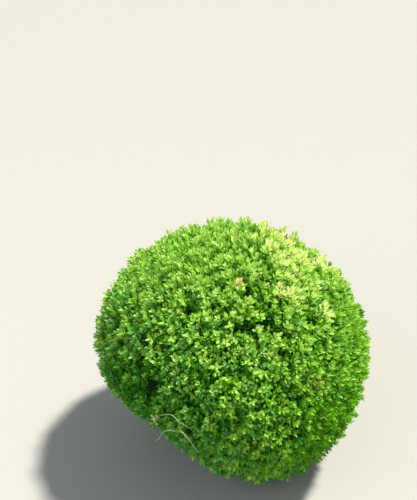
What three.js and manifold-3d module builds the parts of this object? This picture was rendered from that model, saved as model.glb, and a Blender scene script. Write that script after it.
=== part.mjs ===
// A clipped box ball, as it stands in a garden border. A short leaning stem with a root flare forks
// into boughs, which run out through a bare, hollow inside to one dense clipped ball of leafy shoots.
// The ball's lower front left has thinned in the shade, and a bare forked bough shows there.
// Millimetres, +Z up. The origin is the middle of the flat cut at ground level, and -Y is the front.

import * as THREE from "three";
import { mergeVertices } from "three/addons/utils/BufferGeometryUtils.js";
import Module from "manifold-3d";

const wasm = await Module();
wasm.setup();
const { Manifold } = wasm;

// The clipped ball
const BALL_HALF_WIDTH = 346;
const BALL_HALF_HEIGHT = 324;
const BALL_CENTRE = new THREE.Vector3(0, 0, 290);
const SKIRT_HEIGHT = 22; // the lowest leaf above the ground
const LOWEST_SHOOT = -0.8; // sine of the lowest latitude that bears shoots

// Broad swells and flats of the ball: direction from its centre, angle across, share of the radius
const SWELLS = [
  { name: "thin lower front left", towards: [-0.58, -0.56, -0.6], across: 0.6, lift: -0.26 },
  { name: "full lower front right", towards: [0.7, -0.42, -0.57], across: 0.4, lift: 0.012 },
  { name: "full upper back left", towards: [-0.66, 0.3, 0.68], across: 0.5, lift: 0.02 },
  { name: "flat upper back right", towards: [0.72, 0.35, 0.58], across: 0.45, lift: -0.015 },
];
const RIPPLES = 26; // smaller unevenness, all round
const RIPPLE_ACROSS = 0.3;
const RIPPLE_LIFT = 0.018;

// The woody core of the ball, and the bare hollow inside it
const CORE_DEPTH = 38; // from the clipped surface to the core
const CORE_ROUGHNESS = 5;
const CORE_DETAIL = 6;
const CORE_UNDERSIDE = 34; // height above the ground
const CORE_UNDERSIDE_WIDTH = 420;
const HOLLOW_HALF_WIDTH = 190;
const HOLLOW_HALF_HEIGHT = 175;
const HOLLOW_CENTRE_HEIGHT = 286;
const HOLLOW_DETAIL = 3;
const NECK_RADIUS = 105;
const NECK_SIDES = 24;
const NECK_BELOW_GROUND = 1;

// The stem
const STEM_TOP = new THREE.Vector3(14, 9, 198);
const STEM_LEAN = [new THREE.Vector3(-3, 2, 70), new THREE.Vector3(12, -4, 130)];
const STEM_RADIUS = 25;
const STEM_TOP_RADIUS = 16;
const FLARE_RADIUS = 19; // added to the stem's radius at the ground
const FLARE_SHARE = 0.16; // of the stem's length, over which the flare fades
const FLARE_LOBES = 5;
const FLARE_LOBE_DEPTH = 0.3;
const STEM_FOOT_DEPTH = 15; // of the stem's line below the ground, before the flat cut
const STEM_SIDES = 20;
const STEM_STEPS = 16;

// The limbs
const LIMB_ENDS = 12; // where limbs reach the core, from the top of the ball down
const LIMB_END_DEPTH = 68; // below the clipped surface
const LOWEST_LIMB = -0.55; // sine of the lowest latitude that a limb ends at
const STEM_LIMBS = 5; // the highest of them, which grow from the ball's own stem
const BOUGH_RADIUS = 10.5;
const BOUGH_TIP_RADIUS = 6;
const BOUGH_BEND_SHARE = 0.45; // of a bough's span, where it bends
const BOUGH_RISE = 0.1; // of its span, by which the bend rises
const BOUGH_UNEVENNESS = 14;
const BOUGH_SIDES = 8;
const BOUGH_STEPS = 10;
const LOWEST_FORK = 60;
const HIGHEST_FORK = 146;

// The ball's own stem and the high limbs that it carries
const BALL_STEM_TOP = new THREE.Vector3(10, 14, 272);
const BALL_STEM_RADIUS = 14;
const BALL_STEM_TOP_RADIUS = 9;
const BALL_STEM_SIDES = 8;
const LOWEST_BALL_FORK = 0.72; // share of the ball's stem
const BALL_FORK_SPAN = 0.24;
const BALL_LIMB_RADIUS = 8;
const BALL_LIMB_TIP_RADIUS = 4.5;
const BALL_LIMB_RISE = 0.12; // of a limb's span, by which its bend rises
const LEVEL_LIMB_HEIGHT = 700; // a limb that ended as high as this would not rise at its bend
const BALL_LIMB_SIDES = 5;
const BALL_LIMB_STEPS = 5;

// The bare bough that shows at the thin place, as its bends from the stem to its tip
const BARE_BOUGH_BENDS = [
  [0, 0, 72], [-22, -80, 94], [-44, -190, 168], [-66, -290, 222], [-78, -316, 261],
  [-88, -325, 289], [-97, -327, 304], [-105, -326, 313], [-114, -322, 310],
  [-133, -313, 305], [-144, -310, 299], [-150, -311, 291], [-157, -305, 273], [-166, -297, 259],
];
const BARE_BOUGH_RADIUS = 5.2;
const BARE_BOUGH_TIP_RADIUS = 1.3;
const BARE_BOUGH_SIDES = 8;
const BARE_BOUGH_STEPS = 44;

// Its fork leaves it inside the ball and comes out above it
const BARE_FORK_SHARE = 0.515; // of the bare bough's length, where the fork leaves it
const BARE_FORK_BENDS = [
  [-72, -282, 262], [-88, -309, 310], [-95, -319, 323], [-103, -322, 332], [-110, -322, 337],
  [-116, -321, 344], [-124, -316, 349], [-132, -312, 349], [-144, -307, 343], [-158, -300, 334],
];
const BARE_FORK_RADIUS = 2.8;
const BARE_FORK_TIP_RADIUS = 1.1;
const BARE_FORK_SIDES = 6;
const BARE_FORK_STEPS = 26;
const BARE_LINE_SPOTS = 60; // along each of them, for the leaves to keep clear of

// The leafy shoots
const SHOOTS = 135;
const LEAF_LENGTH = 44;
const LEAF_WIDTH = 25;
const LEAF_THICKNESS = 2;
const LEAF_WIDEST = 0.52; // share of the length
const LEAF_PAIRS = [
  { splay: 1.08, size: 1 },
  { splay: 0.6, size: 0.8 },
];
const LEAF_FOOT = 4.5; // height of a leaf's foot on its twig
const LEAF_LEAN_UNEVENNESS = 0.12;
const LEAF_CHECKS = [0.25, 0.5, 0.75, 1]; // shares of a leaf or twig at which its space is checked
const SURFACE_SLACK = 1; // leaves and twigs may pass the clipped surface by this much
const SHOOT_TIP_DEPTH = 25; // from the clipped surface to the end of the twig
const SHOOT_UNEVENNESS = 5;
const SHOOT_ROOT_DEPTH = 62;
const TWIG_RADIUS = 2.4;
const TWIG_SIDES = 4;
const UPTURN = 0.34; // how far shoots turn towards the light

const CLEARANCE = 0.3; // between solids that meet
const LIMB_SHADOW = 8; // leaves and twigs keep this far from a bare bough's skin
const GOLDEN_ANGLE = Math.PI * (3 - Math.sqrt(5));
const SEED = 20417;
const BELOW_GROUND = 60; // depth of the block that cuts the stem flat
const UP = new THREE.Vector3(0, 0, 1);
const EAST = new THREE.Vector3(1, 0.2, 0.3); // shoots count their sides from here

// How even the spread of shoots and limbs is round the ball
const HEIGHT_WANDER = 0.8;
const TURN_WANDER = 0.45;
const LEAST_COSINE = 0.3;

const LIMB_LEVEL = 1;
const SPUR_LEVEL = 2;
const SHOOT_LEVEL = 3;
const RIPPLE_LEVEL = 9;

// A repeatable number from 0 to 1 for a few whole numbers.
function chance(...keys) {
  let state = SEED;
  for (const key of keys) {
    state = Math.imul(state + key + 1, 2654435761) >>> 0;
    state = (state ^ (state >>> 15)) >>> 0;
    state = Math.imul(state, 2246822519) >>> 0;
    state = (state ^ (state >>> 13)) >>> 0;
  }
  return state / 2 ** 32;
}

function jitter(...keys) {
  return chance(...keys) * 2 - 1;
}

// Directions spread evenly down the ball by the golden angle, from its top to the lowest sine.
function spiral(count, level, lowest = LOWEST_SHOOT) {
  const directions = [];
  const wander = TURN_WANDER * Math.sqrt((2 * (1 - lowest)) / count);
  for (let i = 0; i < count; i++) {
    const middle = 1 - ((i + 0.5) / count) * (1 - lowest);
    const uneven = (jitter(level, i, 0) * HEIGHT_WANDER) / count;
    const sine = THREE.MathUtils.clamp(middle + uneven, lowest, 1);
    const cosine = Math.sqrt(1 - sine * sine);
    const swing = (jitter(level, i, 1) * wander) / Math.max(cosine, LEAST_COSINE);
    const turn = i * GOLDEN_ANGLE + level + swing;
    directions.push(new THREE.Vector3(Math.cos(turn) * cosine, Math.sin(turn) * cosine, sine));
  }
  return directions;
}

const ripples = spiral(RIPPLES, RIPPLE_LEVEL, -1).map((towards, i) => ({
  towards,
  across: RIPPLE_ACROSS,
  lift: RIPPLE_LIFT * jitter(RIPPLE_LEVEL, i, 2),
}));
const unevenness = [
  ...SWELLS.map((swell) => ({ ...swell, towards: new THREE.Vector3(...swell.towards).normalize() })),
  ...ripples,
];

// How far the clipped surface lies from the ball's centre in a direction.
function reach(direction) {
  const level = Math.hypot(direction.x, direction.y) / BALL_HALF_WIDTH;
  let radius = 1 / Math.hypot(level, direction.z / BALL_HALF_HEIGHT);
  for (const { towards, across, lift } of unevenness) {
    radius *= 1 + lift * Math.exp(-((direction.angleTo(towards) / across) ** 2));
  }
  return radius;
}

function pointAt(direction, depth) {
  return direction.clone().multiplyScalar(reach(direction) - depth).add(BALL_CENTRE);
}

// A closed geometry as a solid that can be joined and cut.
function solidOf(geometry) {
  const bare = geometry.clone();
  bare.deleteAttribute("normal");
  bare.deleteAttribute("uv");
  const merged = mergeVertices(bare, 1e-4);
  return new Manifold(
    new wasm.Mesh({
      numProp: 3,
      vertProperties: merged.attributes.position.array,
      triVerts: new Uint32Array(merged.index.array),
    }),
  );
}

function solidFromFaces(points, faces) {
  const geometry = new THREE.BufferGeometry();
  geometry.setAttribute("position", new THREE.Float32BufferAttribute(points.flatMap((p) => [...p]), 3));
  geometry.setIndex(faces.flat());
  return solidOf(geometry);
}

// Joining leaves loose scraps and sealed hollows behind: only the outer body is kept.
function largestBody(solid) {
  return solid.decompose().reduce((best, body) => (body.volume() > best.volume() ? body : best));
}

function meshOf(name, solid, material) {
  const { numProp, numVert, vertProperties, triVerts } = solid.getMesh();
  const positions = new Float32Array(numVert * 3);
  for (let i = 0; i < numVert; i++) {
    positions.set(vertProperties.subarray(i * numProp, i * numProp + 3), i * 3);
  }
  const geometry = new THREE.BufferGeometry();
  geometry.setAttribute("position", new THREE.BufferAttribute(positions, 3));
  geometry.setIndex(new THREE.BufferAttribute(new Uint32Array(triVerts), 1));
  geometry.computeVertexNormals();
  const mesh = new THREE.Mesh(geometry, material);
  mesh.name = name;
  return mesh;
}

// A round limb along a curve. radiusAt(share, angle) gives its radius.
function limb(curve, radiusAt, sides, steps) {
  const { normals, binormals } = curve.computeFrenetFrames(steps, false);
  const points = [];
  const faces = [];
  for (let ring = 0; ring <= steps; ring++) {
    const centre = curve.getPointAt(ring / steps);
    for (let side = 0; side < sides; side++) {
      const angle = (side / sides) * 2 * Math.PI;
      const radius = radiusAt(ring / steps, angle);
      points.push(
        centre
          .clone()
          .addScaledVector(normals[ring], Math.cos(angle) * radius)
          .addScaledVector(binormals[ring], Math.sin(angle) * radius),
      );
    }
  }
  const foot = points.push(curve.getPointAt(0)) - 1;
  const tip = points.push(curve.getPointAt(1)) - 1;
  const at = (ring, side) => ring * sides + (side % sides);
  for (let side = 0; side < sides; side++) {
    for (let ring = 0; ring < steps; ring++) {
      faces.push([at(ring, side), at(ring, side + 1), at(ring + 1, side)]);
      faces.push([at(ring, side + 1), at(ring + 1, side + 1), at(ring + 1, side)]);
    }
    faces.push([foot, at(0, side + 1), at(0, side)]);
    faces.push([tip, at(steps, side), at(steps, side + 1)]);
  }
  return solidFromFaces(points, faces);
}

const taper = (from, to, grow = 0) => (share) => THREE.MathUtils.lerp(from, to, share) + grow;

// The stem, cut flat at the ground.
function stemCurve() {
  const foot = new THREE.Vector3(0, 0, -STEM_FOOT_DEPTH);
  return new THREE.CubicBezierCurve3(foot, ...STEM_LEAN, STEM_TOP);
}

function stem(grow = 0) {
  const radiusAt = (share, angle) => {
    const flare = FLARE_RADIUS * Math.exp(-share / FLARE_SHARE);
    const lobes = 1 + FLARE_LOBE_DEPTH * Math.cos(angle * FLARE_LOBES);
    return THREE.MathUtils.lerp(STEM_RADIUS, STEM_TOP_RADIUS, share) + flare * lobes + grow;
  };
  return limb(stemCurve(), radiusAt, STEM_SIDES, STEM_STEPS);
}

function groundBlock() {
  const side = BALL_HALF_WIDTH;
  const block = new THREE.BoxGeometry(side, side, BELOW_GROUND);
  return solidOf(block.translate(0, 0, -BELOW_GROUND / 2));
}

function ellipsoid(halfWidth, halfHeight, height, detail) {
  const ball = new THREE.IcosahedronGeometry(1, detail);
  return solidOf(ball.scale(halfWidth, halfWidth, halfHeight).translate(0, 0, height));
}

// The bare inside of the ball, open to the ground round the stem.
function hollow(shrink = 0) {
  const round = ellipsoid(
    HOLLOW_HALF_WIDTH - shrink, HOLLOW_HALF_HEIGHT - shrink, HOLLOW_CENTRE_HEIGHT, HOLLOW_DETAIL,
  );
  const radius = NECK_RADIUS - shrink;
  const neck = new THREE.CylinderGeometry(radius, radius, HOLLOW_CENTRE_HEIGHT, NECK_SIDES);
  neck.rotateX(Math.PI / 2).translate(0, 0, HOLLOW_CENTRE_HEIGHT / 2 - NECK_BELOW_GROUND);
  return round.add(solidOf(neck));
}

// Where limbs reach the core, from the top of the ball down.
const limbDirections = spiral(LIMB_ENDS, LIMB_LEVEL, LOWEST_LIMB);
const limbEnds = limbDirections.map((direction) => pointAt(direction, LIMB_END_DEPTH));

// A bough rises from the stem, then bends out to its end in the core.
function boughCurve(number) {
  const end = limbEnds[STEM_LIMBS + number];
  const share = number / (LIMB_ENDS - STEM_LIMBS - 1);
  const height = THREE.MathUtils.lerp(HIGHEST_FORK, LOWEST_FORK, share);
  const fork = stemCurve().getPointAt((height + STEM_FOOT_DEPTH) / (STEM_TOP.z + STEM_FOOT_DEPTH));
  const outward = end.clone().sub(fork);
  const bend = fork.clone().addScaledVector(outward, BOUGH_BEND_SHARE);
  bend.z += BOUGH_RISE * outward.length() + BOUGH_UNEVENNESS * jitter(LIMB_LEVEL, number, 3);
  return new THREE.QuadraticBezierCurve3(fork, bend, end);
}

function bough(number) {
  const radiusAt = taper(BOUGH_RADIUS, BOUGH_TIP_RADIUS);
  return limb(boughCurve(number), radiusAt, BOUGH_SIDES, BOUGH_STEPS);
}

function bareBoughCurve() {
  return new THREE.CatmullRomCurve3(BARE_BOUGH_BENDS.map((bend) => new THREE.Vector3(...bend)));
}

function bareForkCurve() {
  const bends = BARE_FORK_BENDS.map((bend) => new THREE.Vector3(...bend));
  return new THREE.CatmullRomCurve3([bareBoughCurve().getPointAt(BARE_FORK_SHARE), ...bends]);
}

function bareBough(grow = 0) {
  const radiusAt = taper(BARE_BOUGH_RADIUS, BARE_BOUGH_TIP_RADIUS, grow);
  return limb(bareBoughCurve(), radiusAt, BARE_BOUGH_SIDES, BARE_BOUGH_STEPS);
}

function bareFork(grow = 0) {
  const radiusAt = taper(BARE_FORK_RADIUS, BARE_FORK_TIP_RADIUS, grow);
  return limb(bareForkCurve(), radiusAt, BARE_FORK_SIDES, BARE_FORK_STEPS);
}

// The ball's own stem goes on from the main stem's top and carries the highest limbs.
function ballStem() {
  const foot = STEM_TOP.clone();
  const lean = stemCurve().getTangentAt(1);
  foot.addScaledVector(lean, CLEARANCE);
  const bend = foot.clone().addScaledVector(lean, foot.distanceTo(BALL_STEM_TOP) / 2);
  const trunk = new THREE.QuadraticBezierCurve3(foot, bend, BALL_STEM_TOP);
  const radiusAt = taper(BALL_STEM_RADIUS, BALL_STEM_TOP_RADIUS);
  const pieces = [limb(trunk, radiusAt, BALL_STEM_SIDES, BALL_LIMB_STEPS)];
  for (let i = 0; i < STEM_LIMBS; i++) {
    const fork = foot.clone().lerp(BALL_STEM_TOP, LOWEST_BALL_FORK + (BALL_FORK_SPAN * i) / STEM_LIMBS);
    const reachOut = limbEnds[i].clone().sub(fork);
    const turn = fork.clone().addScaledVector(reachOut, 0.5);
    turn.z += BALL_LIMB_RISE * reachOut.length() * (1 - limbEnds[i].z / LEVEL_LIMB_HEIGHT);
    const line = new THREE.QuadraticBezierCurve3(fork, turn, limbEnds[i]);
    const limbRadius = taper(BALL_LIMB_RADIUS, BALL_LIMB_TIP_RADIUS);
    pieces.push(limb(line, limbRadius, BALL_LIMB_SIDES, BALL_LIMB_STEPS));
  }
  return pieces;
}

// The dense wood and leaf behind the shoots, with the hollow inside it.
function core() {
  const skin = new THREE.IcosahedronGeometry(1, CORE_DETAIL);
  const bare = new THREE.BufferGeometry().setAttribute("position", skin.getAttribute("position"));
  const merged = mergeVertices(bare);
  const position = merged.getAttribute("position");
  const direction = new THREE.Vector3();
  for (let i = 0; i < position.count; i++) {
    direction.fromBufferAttribute(position, i).normalize();
    const point = pointAt(direction, CORE_DEPTH + CORE_ROUGHNESS * jitter(SPUR_LEVEL, i));
    position.setXYZ(i, point.x, point.y, point.z);
  }
  const under = new THREE.BoxGeometry(CORE_UNDERSIDE_WIDTH, CORE_UNDERSIDE_WIDTH, 2 * CORE_UNDERSIDE);
  return solidOf(merged).subtract(hollow()).subtract(solidOf(under));
}

// Points along the bare boughs, which leaves and twigs keep clear of.
const bareCurves = [bareBoughCurve(), bareForkCurve()];
const bareLine = bareCurves.flatMap((curve) => curve.getSpacedPoints(BARE_LINE_SPOTS));

function keepsClear(point) {
  return bareLine.every((spot) => spot.distanceTo(point) > LIMB_SHADOW);
}

function keepsToSpace(from, to) {
  return LEAF_CHECKS.every((share) => {
    const point = from.clone().lerp(to, share);
    const out = point.clone().sub(BALL_CENTRE);
    const direction = out.clone().normalize();
    const inside = out.length() < reach(direction) + SURFACE_SLACK;
    return point.z > SKIRT_HEIGHT && inside && keepsClear(point);
  });
}

// A leaf on one side of a twig: its root is that side's quad, and a midrib stands on its upper face.
function leafFaces(points, quad, along, upper, size) {
  const [lowLeft, lowRight, highRight, highLeft] = quad;
  const foot = points[lowLeft].clone().lerp(points[highRight], 0.5);
  const across = new THREE.Vector3().crossVectors(along, upper);
  const place = (forward, sideways, lift) =>
    points.push(
      foot
        .clone()
        .addScaledVector(along, forward * size)
        .addScaledVector(across, sideways * size)
        .addScaledVector(upper, lift * size),
    ) - 1;
  const widest = LEAF_LENGTH * LEAF_WIDEST;
  const left = place(widest, LEAF_WIDTH / 2, 0);
  const right = place(widest, -LEAF_WIDTH / 2, 0);
  const rib = place(widest, 0, LEAF_THICKNESS);
  const tip = place(LEAF_LENGTH, 0, 0);
  return [
    [highRight, highLeft, rib], [highLeft, left, rib], [left, tip, rib], [tip, right, rib],
    [right, highRight, rib], [highLeft, lowLeft, left], [lowRight, highRight, right],
    [lowLeft, lowRight, left], [left, lowRight, right], [left, right, tip],
  ];
}

// A shoot: a twig out of the core with opposite pairs of leaves at its end, each pair square to the last.
function shoot(direction, number) {
  const axis = direction.clone().addScaledVector(UP, UPTURN * (1 - Math.abs(direction.z))).normalize();
  const tip = pointAt(direction, SHOOT_TIP_DEPTH + SHOOT_UNEVENNESS * chance(SHOOT_LEVEL, number, 2));
  const root = tip.clone().addScaledVector(axis, SHOOT_TIP_DEPTH - SHOOT_ROOT_DEPTH);
  if (!keepsToSpace(root, tip)) return [];
  const east = EAST.clone().cross(axis).normalize();
  const north = new THREE.Vector3().crossVectors(axis, east);
  const outwards = (quarters) => {
    const angle = Math.PI * chance(SHOOT_LEVEL, number, 3) + (quarters * Math.PI) / 2;
    return east.clone().multiplyScalar(Math.cos(angle)).addScaledVector(north, Math.sin(angle));
  };
  const rings = [root];
  for (let pair = LEAF_PAIRS.length; pair >= 0; pair--) {
    rings.push(tip.clone().addScaledVector(axis, -pair * LEAF_FOOT));
  }
  const points = rings.flatMap((centre) =>
    [0, 1, 2, 3].map((side) => centre.clone().addScaledVector(outwards(side - 0.5), TWIG_RADIUS)),
  );
  const at = (ring, side) => ring * TWIG_SIDES + (side % TWIG_SIDES);
  const last = rings.length - 1;
  const faces = [
    [at(0, 2), at(0, 1), at(0, 0)], [at(0, 3), at(0, 2), at(0, 0)],
    [at(last, 0), at(last, 1), at(last, 2)], [at(last, 0), at(last, 2), at(last, 3)],
  ];
  for (let ring = 0; ring < last; ring++) {
    for (let side = 0; side < TWIG_SIDES; side++) {
      const quad = [at(ring, side), at(ring, side + 1), at(ring + 1, side + 1), at(ring + 1, side)];
      const leafy = ring > 0 && (side + ring) % 2 === 0;
      const { splay, size } = LEAF_PAIRS[Math.max(ring - 1, 0)];
      const lean = splay + LEAF_LEAN_UNEVENNESS * jitter(SHOOT_LEVEL, number, ring, side);
      const away = outwards(side);
      const along = axis.clone().multiplyScalar(Math.cos(lean)).addScaledVector(away, Math.sin(lean));
      const upper = axis.clone().multiplyScalar(Math.sin(lean)).addScaledVector(away, -Math.cos(lean));
      const end = rings[ring].clone().addScaledVector(along, LEAF_LENGTH * size);
      if (leafy && keepsToSpace(rings[ring], end)) {
        faces.push(...leafFaces(points, quad, along, upper, size));
      } else {
        faces.push([quad[0], quad[1], quad[3]], [quad[1], quad[2], quad[3]]);
      }
    }
  }
  return [solidFromFaces(points, faces)];
}

function clippedBall() {
  const shoots = spiral(SHOOTS, SHOOT_LEVEL).flatMap(shoot);
  const joined = Manifold.union([core(), ...ballStem(), ...shoots]);
  return largestBody(joined.subtract(bareBough(CLEARANCE)).subtract(bareFork(CLEARANCE)));
}

const bark = new THREE.MeshStandardMaterial({ color: 0x8a7a63, roughness: 0.9, metalness: 0 });
const greyTwig = new THREE.MeshStandardMaterial({ color: 0x9aa084, roughness: 0.85, metalness: 0 });
const foliage = new THREE.MeshStandardMaterial({ color: 0x6fa534, roughness: 0.55, metalness: 0 });

const plant = new THREE.Group();
plant.add(meshOf("main_stem", stem().subtract(groundBlock()), bark));

const stemSpace = stem(CLEARANCE);
const inside = hollow(CLEARANCE);
for (let number = 0; number < LIMB_ENDS - STEM_LIMBS; number++) {
  const trimmed = bough(number).subtract(stemSpace).intersect(inside);
  plant.add(meshOf(`bough_${number + 1}`, largestBody(trimmed), bark));
}

plant.add(meshOf("bare_bough", largestBody(bareBough().subtract(stemSpace)), greyTwig));
plant.add(meshOf("bare_bough_fork", largestBody(bareFork().subtract(bareBough(CLEARANCE))), greyTwig));
plant.add(meshOf("clipped_ball", clippedBall(), foliage));

export default plant;
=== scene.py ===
"""The looks of a clipped box ball: barked stem and boughs, inner wood, twigs, and leaves in opposite pairs.

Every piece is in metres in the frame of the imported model. The ball grows by the rule of the part's source,
written again here and carried on from its boughs to some ten thousand leafy shoots.
"""

import math

import bpy
import numpy as np
from bpy.props import FloatProperty, FloatVectorProperty, IntProperty, PointerProperty
from bpy.types import Operator, Panel, PropertyGroup
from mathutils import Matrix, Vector, noise


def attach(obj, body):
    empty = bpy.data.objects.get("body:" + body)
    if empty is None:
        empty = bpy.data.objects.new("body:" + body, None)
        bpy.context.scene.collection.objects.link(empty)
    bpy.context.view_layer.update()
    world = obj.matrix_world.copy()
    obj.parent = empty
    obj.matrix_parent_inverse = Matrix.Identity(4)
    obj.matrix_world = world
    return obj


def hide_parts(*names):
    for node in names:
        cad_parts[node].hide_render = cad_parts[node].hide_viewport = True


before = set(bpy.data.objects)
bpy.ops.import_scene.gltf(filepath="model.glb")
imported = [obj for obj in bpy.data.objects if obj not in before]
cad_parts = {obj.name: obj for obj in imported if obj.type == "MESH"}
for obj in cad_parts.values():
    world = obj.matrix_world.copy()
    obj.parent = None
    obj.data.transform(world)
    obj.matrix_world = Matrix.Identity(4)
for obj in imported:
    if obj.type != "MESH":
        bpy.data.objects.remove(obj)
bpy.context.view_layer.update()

bl_info = {
    "name": "Clipped Box Ball",
    "version": (1, 0, 0),
    "blender": (4, 5, 0),
    "location": "View3D > Sidebar > Box Ball",
    "description": "Grows a clipped box ball over its packed solids",
    "category": "Add Mesh",
}

# The clipped ball, as in the part's source
BALL_HALF_WIDTH = 0.346
BALL_HALF_HEIGHT = 0.324
BALL_CENTRE = np.array([0.0, 0.0, 0.290])
SKIRT_HEIGHT = 0.022
LOWEST_SHOOT = -0.8
LOWEST_LIMB = -0.55
NECK_SINE = -0.93
SWELLS = {
    "thin lower front left": ((-0.58, -0.56, -0.6), 0.6, -0.26),
    "full lower front right": ((0.7, -0.42, -0.57), 0.4, 0.012),
    "full upper back left": ((-0.66, 0.3, 0.68), 0.5, 0.02),
    "flat upper back right": ((0.72, 0.35, 0.58), 0.45, -0.015),
}
RIPPLES = 26
RIPPLE_ACROSS = 0.3
RIPPLE_LIFT = 0.018
HOLLOW_HALF = np.array([0.190, 0.190, 0.175])
HOLLOW_CENTRE = np.array([0.0, 0.0, 0.286])

# The wood, as in the part's source
BELOW_GROUND = 0.015
STEM_TOP = (0.014, 0.009, 0.198)
STEM_LEAN = [(-0.003, 0.002, 0.070), (0.012, -0.004, 0.130)]
STEM_RADIUS = 0.025
STEM_TOP_RADIUS = 0.016
FLARE_RADIUS = 0.019
FLARE_SHARE = 0.16
FLARE_LOBES = 5
FLARE_LOBE_DEPTH = 0.3
LIMB_ENDS = 12
STEM_LIMBS = 5
BOUGHS = LIMB_ENDS - STEM_LIMBS
LIMB_DEPTH = 0.068
BOUGH_RADIUS = 0.0105
BOUGH_TIP_RADIUS = 0.006
LOWEST_FORK = 0.060
HIGHEST_FORK = 0.146
BALL_STEM_TOP = np.array([0.010, 0.014, 0.272])
BALL_STEM_RADIUS = 0.014
BALL_FIRST_FORK = 0.72
BALL_FORK_SPAN = 0.24
BALL_LIMB_RADIUS = 0.008
BALL_LIMB_TIP_RADIUS = 0.0045
BARE_BOUGH_BENDS = [
    (0, 0, 0.072), (-0.022, -0.080, 0.094), (-0.044, -0.190, 0.168), (-0.066, -0.290, 0.222),
    (-0.078, -0.316, 0.261), (-0.088, -0.325, 0.289), (-0.097, -0.327, 0.304), (-0.105, -0.326, 0.313),
    (-0.114, -0.322, 0.310), (-0.133, -0.313, 0.305), (-0.144, -0.310, 0.299), (-0.150, -0.311, 0.291),
    (-0.157, -0.305, 0.273), (-0.166, -0.297, 0.259),
]
BARE_BOUGH_RADIUS = 0.0052
BARE_BOUGH_TIP_RADIUS = 0.0013
BARE_FORK_SHARE = 0.515
BARE_FORK_BENDS = [
    (-0.072, -0.282, 0.262), (-0.088, -0.309, 0.310), (-0.095, -0.319, 0.323), (-0.103, -0.322, 0.332),
    (-0.110, -0.322, 0.337), (-0.116, -0.321, 0.344), (-0.124, -0.316, 0.349), (-0.132, -0.312, 0.349),
    (-0.144, -0.307, 0.343), (-0.158, -0.300, 0.334),
]
BARE_FORK_RADIUS = 0.0028
BARE_FORK_TIP_RADIUS = 0.0011

# The bare bough as it shows, and the twig of dried leaves at its end
BARE_FORK_START = 0.02
BARE_GAP = 0.0055
FORK_SHOWS = 0.45
DRIED_TWIG_BENDS = [
    (-0.157, -0.3005, 0.3345), (-0.167, -0.293, 0.323), (-0.161, -0.296, 0.312), (-0.158, -0.299, 0.306),
]
DRIED_TWIG_RADIUS = 0.0009
DRIED_LEAVES = 14
DRIED_LEAF_LENGTH = 0.0105

# How finely lines are laid out, and how many sides and rings their bark has
STEM_STEPS = 200
BOUGH_STEPS = 60
LIMB_STEPS = 24
BARE_STEPS = 400
CURVE_STEPS = 40
STEM_RINGS, STEM_SIDES = 110, 72
BOUGH_RINGS, BOUGH_SIDES = 46, 24
BARE_RINGS, BARE_SIDES, BARE_FORK_SIDES = 120, 14, 10

# The growth rule's seed, the numbers that stir it, and its levels
SEED = 20417
WORD = np.uint64(0xFFFFFFFF)
FIRST_STIR = np.uint64(2654435761)
SECOND_STIR = np.uint64(2246822519)
GOLDEN_ANGLE = math.pi * (3 - math.sqrt(5))
LIMB, SPUR, BRANCH, SPRAY, SHOOT = range(1, 6)
INNER = 7
RIPPLE = 9
SKIRT = 20

# Finer wood: how many, how deep its ends lie below the clipped surface, and how thick it is
SPURS = 48
SPUR_DEPTH = 0.092
SPUR_RADIUS = 0.0036
BRANCHES = 135
BRANCH_DEPTH = 0.070
BRANCH_RADIUS = 0.0026
SPRAY_DEPTH = 0.050
SPRAY_RADIUS = 0.0014
SHOOT_RADIUS = 0.0008
BARE_TWIG_RADIUS = 0.0011
BARE_TWIG_LENGTH = 0.6

# How shoots stand, how near the ground they may come, and how rough they leave the surface
SHOOT_LENGTH = 0.030
SHORTEST_SHOOT = 0.75
FIRST_FOOT = 0.45
UPTURN = 0.6
LOWEST_TIP = 0.010
LOWEST_ELBOW = 0.008
DOME_WIDTH = 0.015
ROUGHNESS = 0.0085
MIDDLE_ROUGHNESS = 0.010

# Places on the ball: direction, angle across, and strength, which for the first two kinds is a depth
SMALL_HOLLOWS = [
    (0.12, -0.46, 0.88, 0.048, 0.04), (0.08, -0.51, 0.86, 0.034, 0.026),
    (0.06, -0.7, 0.71, 0.042, 0.036), (0.12, -0.69, 0.71, 0.044, 0.036),
    (0.19, -0.66, 0.73, 0.04, 0.036), (0.25, -0.63, 0.74, 0.048, 0.04),
    (0.24, -0.34, 0.91, 0.046, 0.024), (-0.09, -0.42, 0.9, 0.046, 0.024),
    (-0.36, -0.05, 0.93, 0.042, 0.023), (0.59, -0.49, 0.64, 0.055, 0.024),
    (0.35, -0.68, 0.65, 0.042, 0.03), (0.54, -0.5, 0.67, 0.036, 0.026),
    (-0.29, -0.57, 0.77, 0.042, 0.03), (-0.13, -0.57, 0.81, 0.038, 0.028),
    (0.36, -0.76, 0.55, 0.05, 0.024), (-0.56, -0.79, 0.25, 0.07, 0.028),
    (-0.72, -0.66, 0.05, 0.06, 0.028), (0.5, 0.62, 0.6, 0.06, 0.034),
    (-0.62, 0.55, 0.56, 0.055, 0.03), (-0.1, 0.86, 0.5, 0.055, 0.03),
]
CLOSE_PLACES = [(0.95, -0.17, -0.24, 0.8, 0.01)]
# Pale places: the pale patch on the sunny top, partly bleached new growth and partly painted sunlight in the
# leaves' tints
PALE_PLACES = [
    (0.19, 0.13, 0.97, 0.08, 0.75), (0.31, 0.44, 0.84, 0.12, 0.85),
    (0.38, 0.25, 0.89, 0.15, 1.0), (0.51, 0.08, 0.86, 0.16, 1.0),
    (0.68, 0.12, 0.72, 0.12, 0.6), (0.36, -0.12, 0.93, 0.13, 0.95),
    (0.57, -0.22, 0.79, 0.1, 0.6), (0.37, -0.4, 0.84, 0.1, 0.9),
    (0.66, -0.38, 0.65, 0.08, 0.7), (0.22, 0.04, 0.97, 0.09, 0.55),
    (0.5, -0.05, 0.86, 0.34, 0.45), (0.12, -0.72, 0.66, 0.34, 0.22),
]
RUFFLED_PLACES = [
    (0.12, 0.18, 0.97, 0.62, 1.0), (0.1, -0.55, 0.83, 0.45, 0.7),
]
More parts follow.
